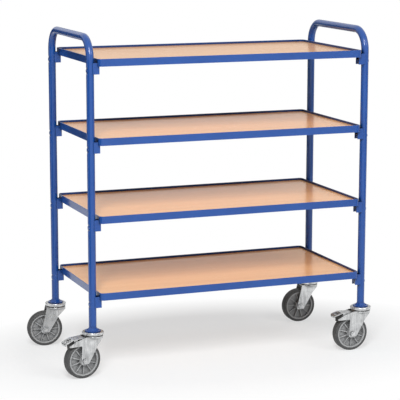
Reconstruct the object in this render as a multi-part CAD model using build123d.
from build123d import *
import math
import os

# Shelf trolley. Sizes are in millimetres. The floor is z = 0, x runs along the shelves and y from
# front to back. The origin is on the floor, in the middle between the four legs.

# Shelves: an angle-steel frame whose upright leg is the rail and whose flat leg is the ledge.
shelf_length = 957.0
shelf_width = 493.0
shelf_corner_radius = 15.0
bottom_shelf_height = 287.5
shelf_pitch = 261.0
rail_height = 25.0
rail_thickness = 2.5
rail_edge_radius = 0.7
ledge_width = 20.0
board_thickness = 15.0
board_clearance = 0.3
board_edge_radius = 0.6

# Push frames: one bent tube at each end, whose top is the handle.
tube_diameter = 26.0
tube_wall = 2.0
handle_height = 1150.0
handle_bend_radius = 71.0
leg_inset = 25.0
end_gap = 8.5
press_depth = 2.6
press_height = 25.0

# Saddles: short channels that hold each leg off the end rail.
saddle_width = 26.0
saddle_height = 37.5
saddle_thickness = 2.5
saddle_drop = 13.5
saddle_reach = 16.0
saddle_lap = 7.0
saddle_clearance = 0.1
bolt_rise = 11.5

# Shelf fasteners.
bolt_diameter = 8.0
bolt_hole_clearance = 0.2
thread_fit = 0.05
bolt_head_diameter = 14.0
bolt_head_height = 2.4
bolt_head_rounding = 1.6
bolt_end = 0.8
washer_diameter = 16.0
washer_thickness = 1.2
nut_width = 13.0
nut_height = 4.0

# Feet: flange, plug and bolt that hold each castor to its leg.
flange_diameter = 53.0
flange_thickness = 4.0
flange_edge_radius = 1.0
weld_size = 8.0
weld_hollow_radius = 5.8
weld_clearance = 0.05
plug_length = 35.0
plug_clearance = 0.05
castor_bolt_diameter = 12.0
castor_bolt_grip = 28.0
castor_bolt_head_width = 18.0
castor_bolt_head_height = 7.5
castor_bolt_clearance = 0.05

# Castors.
castor_height = 156.0
trail = 41.0
head_diameter = 73.0
head_plate = 3.5
head_skirt = 2.5
head_edge_radius = 2.6
seam = 0.4
ball_diameter = 7.5
ball_pitch_radius = 27.0
ball_count = 20
ball_clearance = 0.05
crown_diameter = 69.0
crown_neck_diameter = 63.0
crown_groove = 2.5
crown_thickness = 3.5
crown_edge = 3.0
crown_depth = 12.5
fork_thickness = 3.0
fork_nose_width = 20.0
fork_bend_x = 2.0
fork_bend_radius = 16.0
fork_shoulder_x = 7.0
fork_shoulder_drop = 36.0
fork_foot_width = 28.0
fork_foot_drop = 11.0
fork_foot_radius = 4.0
fork_side_clearance = 1.0

# Wheels.
wheel_diameter = 125.0
tyre_width = 33.0
tyre_depth = 9.0
tyre_shoulder = 7.0
rim_seat_clearance = 0.02
rim_width = 29.0
rim_band = 5.5
rim_web = 6.0
hub_diameter = 33.0
hub_width = 40.0
rib_count = 10
rib_thickness = 3.0
rib_hub_depth = 13.5
rib_rim_depth = 9.0
bearing_diameter = 18.0
bearing_fit = 0.02
axle_diameter = 10.0
axle_running_fit = 0.06
axle_fit = 0.05
axle_head_width = 16.0
axle_head_height = 5.5
axle_nut_height = 6.0
axle_end = 1.5

# Brakes of the front castors: a rocking pedal on a pin between the fork's two cheeks.
brake_travel = 6.0
pin_diameter = 6.0
pin_fit = 0.05
pin_running_fit = 0.06
pin_reach = 31.0
pin_tyre_clearance = 8.0
pin_head_diameter = 9.0
pin_head_height = 1.5
cheek_margin = 5.0
cheek_reach = 58.0
cheek_fall = 9.5
cheek_depth = 12.5
cheek_tip = 4.0
cheek_root = 10.0
cheek_bend_radius = 20.0
pedal_heel = 34.0
pedal_hump = 8.0
pedal_toe = 37.0
pedal_rise = 11.5
pedal_heel_fall = 1.5
pedal_toe_fall = 9.5
pedal_lip = 7.0
pedal_hump_radius = 24.0
pedal_lip_radius = 4.0
pedal_toe_radius = 8.0
pedal_thickness = 2.5
pedal_side_clearance = 1.0
pedal_ear_thickness = 3.0
pedal_ear_width = 12.0
pedal_slot_count = 3
pedal_slot_width = 4.0
pedal_slot_length = 20.0
pedal_slot_start = 10.0
pedal_slot_pitch = 8.2
pedal_rib_length = 32.0
pedal_rib_height = 1.2
shoe_offset = 8.0
shoe_length = 12.0
shoe_width = 26.0
shoe_clearance = 1.2

# Where each castor stands: name, side along x and along y, swivel and wheel turn in degrees, and how
# far its brake pedal is pressed, with None where it has no brake.
CASTORS = (
    ("front_left", -1, -1, 9.0, 18.0, brake_travel),
    ("front_right", 1, -1, 0.0, 18.0, 0.0),
    ("back_left", -1, 1, -8.0, 0.0, None),
    ("back_right", 1, 1, -2.0, 4.0, None),
)
SHELVES = ("bottom", "lower", "upper", "top")

# Places that follow from the sizes above.
tube_radius = tube_diameter / 2
leg_x = shelf_length / 2 + end_gap + tube_radius
leg_y = shelf_width / 2 - leg_inset
leg_foot = castor_height + flange_thickness
rail_tops = [bottom_shelf_height + n * shelf_pitch for n in range(len(SHELVES))]
handle_axis = handle_height - tube_radius
bolt_heights = [top - saddle_drop - saddle_height + bolt_rise for top in rail_tops]
bolt_seat = leg_x + tube_radius - press_depth
nut_seat = shelf_length / 2 - washer_thickness

head_under = castor_height - head_plate
crown_top = head_under - ball_diameter - 2 * ball_clearance
crown_under = crown_top - crown_thickness
crown_shoulder = crown_top - crown_groove
crown_rim = crown_top - crown_depth
castor_bolt_radius = castor_bolt_diameter / 2
castor_bolt_hole = castor_bolt_radius + castor_bolt_clearance

wheel_radius = wheel_diameter / 2
tyre_bore = wheel_radius - tyre_depth
axle_radius = axle_diameter / 2
fork_inner = hub_width / 2 + fork_side_clearance
fork_outer = fork_inner + fork_thickness

pin_radius = pin_diameter / 2
pin_x = -trail - pin_reach
pin_z = wheel_radius + math.sqrt(wheel_radius**2 - pin_reach**2) + pin_radius + pin_tyre_clearance
pedal_half = fork_inner - pedal_side_clearance


def outline(*points):
    """A flat face with straight sides through the points."""
    return make_face(Polyline(*points, close=True))


def upright(face, half_width):
    """A face drawn in x and z, given the same width to both sides of y = 0."""
    return extrude(Plane.XZ * face, amount=half_width, both=True)


def turned(*points):
    """A body of revolution about z from points given as radius and height."""
    return revolve(Plane.XZ * outline(*points), axis=Axis.Z)


def hexagon(width, height):
    """A hexagonal prism standing on z = 0, measured across its flats."""
    return extrude(RegularPolygon(width / 2, 6, major_radius=False), amount=height)


def rod(radius, low, high):
    """A cylinder along z between two heights."""
    return Pos(0, 0, low) * Cylinder(radius, high - low, align=(Align.CENTER, Align.CENTER, Align.MIN))


def across(shape):
    """Lays a shape that was built along z over onto the y axis, its top towards the back."""
    return Rot(-90, 0, 0) * shape


def corners():
    """The signs of the four corners."""
    return [(sx, sy) for sx in (-1, 1) for sy in (-1, 1)]


# Push frames


def bent_tube(side, radius):
    """A round bar along one frame's centre line: up a leg, over the handle and down the other leg."""
    x = side * leg_x
    path = FilletPolyline(
        (x, -leg_y, leg_foot), (x, -leg_y, handle_axis), (x, leg_y, handle_axis), (x, leg_y, leg_foot),
        radius=handle_bend_radius,
    )
    return sweep(Plane(origin=path @ 0, z_dir=path % 0) * Circle(radius), path=path)


def pressed_places(side, depth, half_flat):
    """What is taken off a bar's outer side where each bolt head sits, flat with sloping ends."""
    flat = leg_x + tube_radius - depth
    slope = tube_radius
    places = []
    for height in bolt_heights:
        face = outline(
            (side * flat, height - half_flat),
            (side * (flat + slope), height - half_flat - slope),
            (side * (flat + slope), height + half_flat + slope),
            (side * flat, height + half_flat),
        )
        places += [Pos(0, sy * leg_y, 0) * upright(face, tube_diameter) for sy in (-1, 1)]
    return places


def push_frame(side):
    half_flat = press_height / 2 - press_depth
    skin = bent_tube(side, tube_radius) - pressed_places(side, press_depth, half_flat)
    hollow = bent_tube(side, tube_radius - tube_wall)
    hollow -= pressed_places(side, press_depth + tube_wall, half_flat + tube_wall / 2)
    holes = [
        Pos(side * leg_x, sy * leg_y, height)
        * Rot(0, 90, 0)
        * Cylinder(bolt_diameter / 2 + bolt_hole_clearance, 2 * tube_diameter)
        for height in bolt_heights
        for sy in (-1, 1)
    ]
    return skin - hollow - holes


# Shelves


def shelf_outline(inset):
    return RectangleRounded(
        shelf_length - 2 * inset, shelf_width - 2 * inset, shelf_corner_radius - min(inset, rail_thickness)
    )


def shelf_frame(top):
    body = extrude(shelf_outline(0), amount=rail_height)
    tray = Pos(0, 0, rail_thickness) * extrude(shelf_outline(rail_thickness), amount=rail_height)
    window = extrude(shelf_outline(rail_thickness + ledge_width), amount=rail_height)
    frame = body - tray - window
    lip = frame.edges().group_by(Axis.Z)[-1]
    return Pos(0, 0, top - rail_height) * fillet(lip, rail_edge_radius)


def shelf_board(top):
    board = extrude(shelf_outline(rail_thickness + board_clearance), amount=board_thickness)
    board = fillet(board.edges().group_by(Axis.Z)[-1], board_edge_radius)
    return Pos(0, 0, top - rail_height + rail_thickness) * board


def saddle(sx, sy, top):
    """One channel: its back on the end rail, its outer edges hollowed to the leg, its sides beside the nut."""
    block = Box(saddle_reach, saddle_width, saddle_height, align=(Align.MIN, Align.CENTER, Align.MAX))
    hollow_width = saddle_width - 2 * saddle_thickness
    hollow = Box(saddle_reach, hollow_width, saddle_height, align=(Align.MIN, Align.CENTER, Align.MAX))
    lap_height = saddle_height + saddle_drop - rail_height
    lap = Box(saddle_lap, saddle_width, lap_height, align=(Align.MAX, Align.CENTER, Align.MIN))
    lap -= Box(saddle_lap, hollow_width, lap_height, align=(Align.MAX, Align.CENTER, Align.MIN))
    hole = Pos(0, 0, bolt_rise - saddle_height) * Rot(0, 90, 0)
    hole *= Cylinder(bolt_diameter / 2 + bolt_hole_clearance, 3 * saddle_thickness)
    leg = Pos(end_gap + tube_radius, 0, -saddle_height / 2)
    leg *= Cylinder(tube_radius + saddle_clearance, 2 * saddle_height)
    channel = block - Pos(saddle_thickness, 0, 0) * hollow - leg - hole
    channel += Pos(0, 0, -saddle_height) * lap
    turn = Rot(0, 0, 0 if sx > 0 else 180)
    return Pos(sx * shelf_length / 2, sy * leg_y, top - saddle_drop) * turn * channel


def shelf_fasteners():
    """Bolts, washers and nuts of all the shelves, each as a list of separate pieces."""
    bolt = Cylinder(bolt_head_diameter / 2, bolt_head_height, align=(Align.CENTER, Align.CENTER, Align.MIN))
    bolt = fillet(bolt.edges().group_by(Axis.Z)[-1], bolt_head_rounding)
    bolt += rod(bolt_diameter / 2, nut_seat - nut_height - bolt_end - bolt_seat, 0)
    hole = bolt_diameter / 2 + thread_fit
    washer = rod(washer_diameter / 2, 0, washer_thickness) - rod(hole, -1, washer_thickness + 1)
    nut = hexagon(nut_width, nut_height) - rod(hole, -1, nut_height + 1)
    bolts, washers, nuts = [], [], []
    for sx, sy in corners():
        for height in bolt_heights:
            turn = Rot(0, sx * 90, 0)
            bolts.append(Pos(sx * bolt_seat, sy * leg_y, height) * turn * bolt)
            washers.append(Pos(sx * nut_seat, sy * leg_y, height) * turn * washer)
            nuts.append(Pos(sx * (nut_seat - nut_height), sy * leg_y, height) * turn * nut)
    return bolts, washers, nuts


# Feet


def foot_flange():
    radius = flange_diameter / 2
    bore = tube_radius + weld_clearance
    low, high = castor_height, leg_foot
    plate = turned((castor_bolt_hole, low), (radius, low), (radius, high), (castor_bolt_hole, high))
    plate = fillet(plate.edges().group_by(Axis.Z)[-1].sort_by(SortBy.LENGTH)[-1:], flange_edge_radius)
    weld = turned((bore, high), (bore + weld_size, high), (bore, high + weld_size))
    ring = Pos(0, 0, high + weld_size) * Torus(bore + weld_size, weld_hollow_radius)
    return plate + (weld - ring)


def tube_plug():
    bore = castor_bolt_hole
    radius = tube_radius - tube_wall - plug_clearance
    top = leg_foot + plug_length
    return rod(radius, leg_foot, top) - rod(bore, leg_foot - 1, top + 1)


def castor_bolt():
    head_top = crown_under - seam
    head = hexagon(castor_bolt_head_width, castor_bolt_head_height)
    head = Pos(0, 0, head_top - castor_bolt_head_height) * head
    return head + rod(castor_bolt_radius, head_top, leg_foot + castor_bolt_grip)


# Castors, each built with its swivel axis on z and its wheel trailing towards -x


def castor_head():
    """The fixed upper race: a plate with a rim that closes over the balls."""
    bore = castor_bolt_hole
    collar = castor_bolt_radius + head_plate
    radius = head_diameter / 2
    low, high = crown_top + seam, castor_height
    cap = turned((bore, low), (radius, low), (radius, high), (bore, high))
    cap = fillet(cap.edges().filter_by(GeomType.CIRCLE).sort_by(SortBy.LENGTH)[-2:], head_edge_radius)
    inside = radius - head_skirt
    race = turned((collar, low - 1), (inside, low - 1), (inside, head_under), (collar, head_under))
    return cap - race


def bearing_balls():
    height = crown_top + ball_clearance + ball_diameter / 2
    ball = Pos(0, 0, height) * Sphere(ball_diameter / 2)
    return [spot * ball for spot in PolarLocations(ball_pitch_radius, ball_count)]


def crown():
    """The fork's round top: a neck under the head, and a dish whose side slopes in towards the legs."""
    hole = castor_bolt_hole
    neck = crown_neck_diameter / 2
    wide = crown_diameter / 2
    narrow = fork_outer + crown_edge / 2
    wall = fork_thickness
    shell = turned(
        (hole, crown_under), (hole, crown_top), (neck, crown_top), (neck, crown_shoulder),
        (wide, crown_shoulder), (wide, crown_shoulder - crown_edge), (narrow, crown_rim),
        (narrow - wall, crown_rim), (wide - wall, crown_under - crown_groove), (neck - wall, crown_under),
    )
    shoulder = shell.edges().sort_by(SortBy.LENGTH)[-2:].sort_by(Axis.Z)[-1]
    return fillet(shoulder, crown_edge / 2)


def fork_plan():
    """The fork seen from above: two straight sides, bent in towards a narrow nose in front."""
    rear = -trail - cheek_reach
    tip = crown_diameter / 2
    half_nose = fork_nose_width / 2
    plan = outline(
        (rear, -fork_outer), (fork_bend_x, -fork_outer), (tip, -half_nose),
        (tip, half_nose), (fork_bend_x, fork_outer), (rear, fork_outer),
    )
    by_place = plan.vertices().sort_by(Axis.X)
    plan = fillet(by_place[2:4], fork_bend_radius)
    return fillet(plan.vertices().sort_by(Axis.X)[-2:], half_nose - fork_thickness / 2)


def fork_side(braked):
    """The fork seen from the side. A braked one has a cheek behind, which carries the pedal's pin."""
    foot = wheel_radius - fork_foot_drop
    wide = crown_diameter / 2
    half_foot = fork_foot_width / 2
    end_x = -trail - cheek_reach
    end_z = pin_z - cheek_fall
    cheek = [
        (pin_x, pin_z + cheek_margin), (end_x, end_z), (end_x + cheek_tip, end_z - cheek_tip),
        (-trail - cheek_root, pin_z - cheek_depth),
    ]
    side = outline(
        (-wide, crown_shoulder), *(cheek if braked else []),
        (-trail - half_foot, foot), (-trail + half_foot, foot),
        (fork_shoulder_x, crown_top - fork_shoulder_drop), (wide, crown_rim), (wide, crown_shoulder),
    )
    side = fillet(side.vertices().group_by(Axis.Y)[0], fork_foot_radius)
    if braked:
        side = fillet(side.vertices().sort_by(Axis.X)[:2], cheek_tip / 2)
        side = fillet(side.vertices().sort_by_distance((pin_x, pin_z + cheek_margin))[0], cheek_bend_radius)
        side = fillet(side.vertices().sort_by_distance(cheek[-1])[0], fork_foot_radius)
        side -= Pos(pin_x, pin_z) * Circle(pin_radius + pin_fit)
    return side


def fork_legs(braked):
    plan = fork_plan()
    room = offset(plan, -fork_thickness)
    room += Pos(-trail, 0) * Rectangle(2 * cheek_reach, 2 * fork_inner, align=(Align.MAX, Align.CENTER))
    wall = extrude(plan, amount=crown_top) - extrude(room, amount=crown_top)
    return wall & upright(fork_side(braked), crown_diameter)


def fork(braked):
    body = crown() + fork_legs(braked)
    body -= rod(castor_bolt_hole, 0, castor_height)
    return body - Pos(-trail, 0, wheel_radius) * across(Cylinder(axle_radius + axle_fit, 3 * fork_outer))


def axle_bolt():
    head = hexagon(axle_head_width, axle_head_height)
    shank = rod(axle_radius, -2 * fork_outer - axle_nut_height - axle_end, 0)
    return Pos(-trail, fork_outer, wheel_radius) * across(head + shank)


def axle_nut():
    nut = hexagon(axle_head_width, axle_nut_height) - rod(axle_radius + axle_fit, -1, axle_nut_height + 1)
    return Pos(-trail, -fork_outer - axle_nut_height, wheel_radius) * across(nut)


# Wheels, built about their own centre with the axle along y


def spun(face):
    """A body of revolution about the axle from a face drawn in radius and width."""
    return revolve(face, axis=Axis.Y)


def tyre():
    half = tyre_width / 2
    face = outline((tyre_bore, -half), (wheel_radius, -half), (wheel_radius, half), (tyre_bore, half))
    return spun(fillet(face.vertices().group_by(Axis.X)[-1], tyre_shoulder))


def rim():
    outer = tyre_bore - rim_seat_clearance
    inner = outer - rim_band
    bore = bearing_diameter / 2 + bearing_fit
    hub = hub_diameter / 2
    half, web, side = rim_width / 2, rim_web / 2, hub_width / 2
    face = outline(
        (bore, -side), (hub, -side), (hub, -web), (inner, -web), (inner, -half), (outer, -half),
        (outer, half), (inner, half), (inner, web), (hub, web), (hub, side), (bore, side),
    )
    start, end = (bore + hub) / 2, (inner + outer) / 2
    rib = outline((start, 0), (end, 0), (end, rib_rim_depth), (start, rib_hub_depth))
    rib = extrude(rib, amount=rib_thickness / 2, both=True)
    ribs = rib + mirror(rib, about=Plane.XZ)
    return spun(face) + [Rot(0, 360 * n / rib_count, 0) * ribs for n in range(rib_count)]


def wheel_bearing():
    bore = axle_radius + axle_running_fit
    half = hub_width / 2
    return across(rod(bearing_diameter / 2, -half, half) - rod(bore, -half - 1, half + 1))


# Brakes, built released


def pressed(angle, shape):
    """Rocks a piece about the pedal's pin, its outer end down."""
    return Pos(pin_x, 0, pin_z) * Rot(0, -angle, 0) * Pos(-pin_x, 0, -pin_z) * shape


def pedal_points():
    """The pedal's plate seen from the side: heel by the fork's crown, hump, toe and turned-down lip."""
    hump = (pin_x - pedal_hump, pin_z + pedal_rise)
    heel = (pin_x + pedal_heel, hump[1] - pedal_heel_fall)
    toe = (pin_x - pedal_toe, hump[1] - pedal_toe_fall)
    return heel, hump, toe, (toe[0], toe[1] - pedal_lip)


def pedal_plate():
    path = Plane.XZ * FilletPolyline(*pedal_points(), radius=[pedal_hump_radius, pedal_lip_radius])
    start = Plane(origin=path @ 0, x_dir=(0, 1, 0), z_dir=path % 0)
    plate = sweep(start * Rectangle(2 * pedal_half, pedal_thickness), path=path)
    length = pedal_heel + pedal_toe + pedal_thickness
    plan = Pos(pin_x + pedal_heel + pedal_thickness / 2) * Rectangle(
        length, 2 * pedal_half, align=(Align.MAX, Align.CENTER)
    )
    plan = fillet(plan.vertices().group_by(Axis.X)[0], pedal_toe_radius)
    return plate & extrude(plan, amount=2 * pin_z)


def brake_pedal():
    _, hump, toe, _ = pedal_points()
    plate = pedal_plate()
    slope = math.degrees(math.atan2(hump[1] - toe[1], hump[0] - toe[0]))
    tread = Pos(toe[0], 0, toe[1]) * Rot(0, -slope, 0)
    slot = Box(pedal_slot_width, pedal_slot_length, 4 * pedal_thickness)
    rib = Box(pedal_slot_width / 2, pedal_rib_length, pedal_rib_height)
    rib = Pos(-pedal_slot_pitch / 2, 0, (pedal_thickness + pedal_rib_height) / 2) * rib
    for n in range(pedal_slot_count):
        place = tread * Pos(pedal_slot_start + n * pedal_slot_pitch, 0, 0)
        plate -= place * slot
        plate += place * rib
    half_ear = pedal_ear_width / 2
    ear = Pos(pin_x, pin_z + pedal_rise / 2) * Rectangle(pedal_ear_width, pedal_rise - pedal_thickness)
    ear += Pos(pin_x, pin_z) * Circle(half_ear)
    ears = upright(ear, pedal_half) - upright(ear, pedal_half - pedal_ear_thickness)
    hole = Pos(pin_x, 0, pin_z) * across(Cylinder(pin_radius + pin_running_fit, 3 * fork_outer))
    return plate + ears - hole


def brake_shoe():
    """The block under the pedal, hollowed so that it stops just short of the tread when pressed."""
    _, hump, toe, _ = pedal_points()
    near = pin_x - shoe_offset
    far = near - shoe_length
    fall = (hump[1] - toe[1]) / (hump[0] - toe[0])
    top = hump[1] - pedal_thickness / 2
    face = outline(
        (near, wheel_radius), (far, wheel_radius),
        (far, top - (hump[0] - far) * fall), (near, top - (hump[0] - near) * fall),
    )
    tread = Pos(-trail, 0, wheel_radius) * across(Cylinder(wheel_radius + shoe_clearance, 2 * fork_outer))
    return upright(face, shoe_width / 2) - pressed(-brake_travel, tread) - pedal_plate()


def brake_pin():
    head = rod(pin_head_diameter / 2, fork_outer, fork_outer + pin_head_height)
    ends = head + mirror(head, about=Plane.XY)
    return Pos(pin_x, 0, pin_z) * across(rod(pin_radius, -fork_outer, fork_outer) + ends)


# Writing the pieces


def write(name, *pieces):
    shape = pieces[0] if len(pieces) == 1 else Compound(children=[piece.solid() for piece in pieces])
    export_step(shape, f"parts/{name}.step")


def write_castor(name, sx, sy, swivel, turn, brake):
    stand = Pos(sx * leg_x, sy * leg_y, 0) * Rot(0, 0, swivel)
    wheel = stand * Pos(-trail, 0, wheel_radius) * Rot(0, turn, 0)
    write(f"{name}_castor_head", stand * castor_head())
    write(f"{name}_bearing_balls", *[stand * ball for ball in bearing_balls()])
    write(f"{name}_fork", stand * fork(brake is not None))
    write(f"{name}_axle_bolt", stand * axle_bolt())
    write(f"{name}_axle_nut", stand * axle_nut())
    write(f"{name}_tyre", wheel * tyre())
    write(f"{name}_rim", wheel * rim())
    write(f"{name}_wheel_bearing", wheel * wheel_bearing())
    if brake is not None:
        write(f"{name}_brake_pedal", stand * pressed(brake, brake_pedal()))
        write(f"{name}_brake_shoe", stand * pressed(brake, brake_shoe()))
        write(f"{name}_brake_pin", stand * brake_pin())


os.makedirs("parts", exist_ok=True)
write("left_push_frame", push_frame(-1))
write("right_push_frame", push_frame(1))
for shelf, top in zip(SHELVES, rail_tops):
    write(f"{shelf}_shelf_frame", shelf_frame(top))
    write(f"{shelf}_shelf_board", shelf_board(top))
    write(f"{shelf}_shelf_saddles", *[saddle(sx, sy, top) for sx, sy in corners()])
bolts, washers, nuts = shelf_fasteners()
write("shelf_bolts", *bolts)
write("shelf_washers", *washers)
write("shelf_nuts", *nuts)
legs = [Pos(sx * leg_x, sy * leg_y, 0) for sx, sy in corners()]
write("foot_flanges", *[leg * foot_flange() for leg in legs])
write("tube_plugs", *[leg * tube_plug() for leg in legs])
write("castor_bolts", *[leg * castor_bolt() for leg in legs])
for castor in CASTORS:
    write_castor(*castor)
